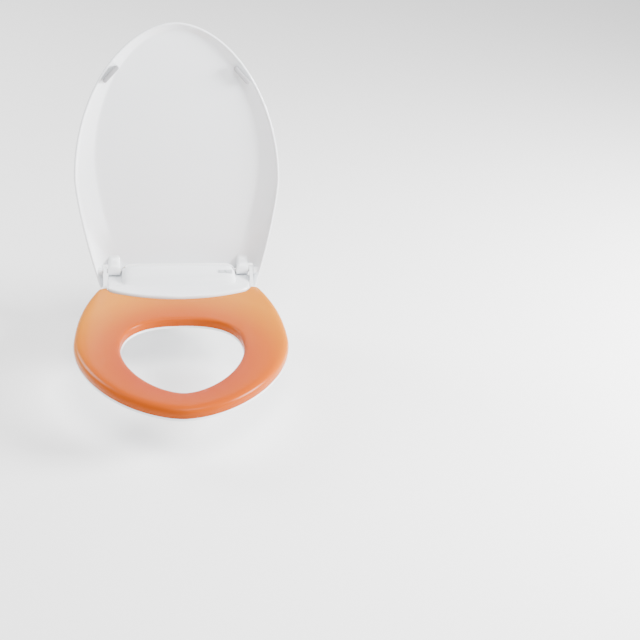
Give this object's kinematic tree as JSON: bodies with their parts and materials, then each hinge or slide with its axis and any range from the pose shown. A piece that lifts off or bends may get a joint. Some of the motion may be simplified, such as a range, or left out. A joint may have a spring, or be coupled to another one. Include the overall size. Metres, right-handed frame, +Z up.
{
  "type": "electric bidet seat",
  "caption": "Heated bidet seat: egg-shaped lid and open-centre seat ring hinged on a slim rear housing with spray nozzle, keys and quick-release bowl plate.",
  "frame": {"origin": "on the bowl's deck, midway between the two mounting bolts", "axes": "-Y to the front of the bowl, +Z up, +X to the right as seen from the front"},
  "size_m": [0.384, 0.5532, 0.5807],
  "materials": {
    "shell_white": "glossy white moulded plastic",
    "seat_orange": "glossy warm orange plastic, paler towards the rear corners",
    "tray_white": "satin white plastic",
    "bumper_grey": "matt grey-beige rubber",
    "steel": "plain steel",
    "black_plastic": "matt black plastic",
    "nylon": "natural nylon",
    "foil": "aluminium foil",
    "red_wire": "silicone-covered wire",
    "board_green": "solder-masked circuit board",
    "copper": "enamelled copper",
    "key_grey": "satin pale grey plastic",
    "lamp_green": "clear light pipe",
    "rubber_black": "matt black rubber",
    "brass": "brass",
    "tube_clear": "translucent soft plastic"
  },
  "bodies": {
    "mount": {"mounting_plate": "tray_white", "mounting_bolts": "steel", "rubber_washers": "rubber_black", "wing_nuts": "tray_white"},
    "base": {"base_top_cover": "shell_white", "base_bottom_tray": "tray_white", "base_feet": "rubber_black", "cover_screws": "steel", "hinge_pins": "steel", "lid_damper": "black_plastic", "seat_damper": "black_plastic", "nozzle_sleeve": "nylon", "nozzle_seal": "rubber_black", "water_inlet": "brass", "inlet_filter": "nylon", "solenoid_valve": "black_plastic", "solenoid_coil": "copper", "nozzle_tube": "tube_clear", "control_board": "board_green", "board_standoffs": "nylon", "board_screws": "steel", "transformer": "black_plastic", "heater_relay": "black_plastic", "terminal_block": "board_green", "cord_gland": "black_plastic", "key_bezel": "key_grey", "indicator_light": "lamp_green", "key_switches": "black_plastic", "key_board": "board_green"},
    "lid": {"lid_shell": "shell_white", "lid_hinge_bushes": "nylon", "lid_bumpers": "bumper_grey"},
    "seat": {"seat_top_shell": "seat_orange", "seat_bottom_shell": "shell_white", "seat_screws": "steel", "seat_hinge_bushes": "nylon", "seat_bumpers": "bumper_grey", "heater_foil": "foil", "heater_wire": "red_wire", "seat_thermostat": "black_plastic", "seat_thermal_fuse": "tray_white"},
    "nozzle": {"nozzle_wand": "tray_white", "nozzle_tip": "tray_white"},
    "heat_button": {"heat_button": "key_grey"},
    "wash_button": {"wash_button": "key_grey"},
    "release_button": {"release_button": "shell_white"}
  },
  "joints": [
    {"name": "base_slide", "type": "slide", "parent": "mount", "child": "base", "axis": [0, -1, 0], "range_m": [0, 0.06]},
    {"name": "lid_hinge", "type": "hinge", "parent": "base", "child": "lid", "pos_m": [0, 0, 0.044], "axis": [-1, 0, 0], "range_deg": [-100, 0]},
    {"name": "seat_hinge", "type": "hinge", "parent": "base", "child": "seat", "pos_m": [0, 0, 0.044], "axis": [-1, 0, 0], "range_deg": [0, 95]},
    {"name": "nozzle_slide", "type": "slide", "parent": "base", "child": "nozzle", "axis": [0, -0.9511, -0.309], "range_m": [0, 0.06], "stiffness_N_per_m": 20, "springref_m": -0.01},
    {"name": "heat_press", "type": "slide", "parent": "base", "child": "heat_button", "axis": [0, 0.3233, -0.9463], "range_m": [0, 0.001], "stiffness_N_per_m": 600, "springref_m": -0.0005},
    {"name": "wash_press", "type": "slide", "parent": "base", "child": "wash_button", "axis": [0, 0.3233, -0.9463], "range_m": [0, 0.001], "stiffness_N_per_m": 600, "springref_m": -0.0005},
    {"name": "release_press", "type": "slide", "parent": "base", "child": "release_button", "axis": [-1, 0, 0], "range_m": [0, 0.0025], "stiffness_N_per_m": 800, "springref_m": -0.001}
  ]
}
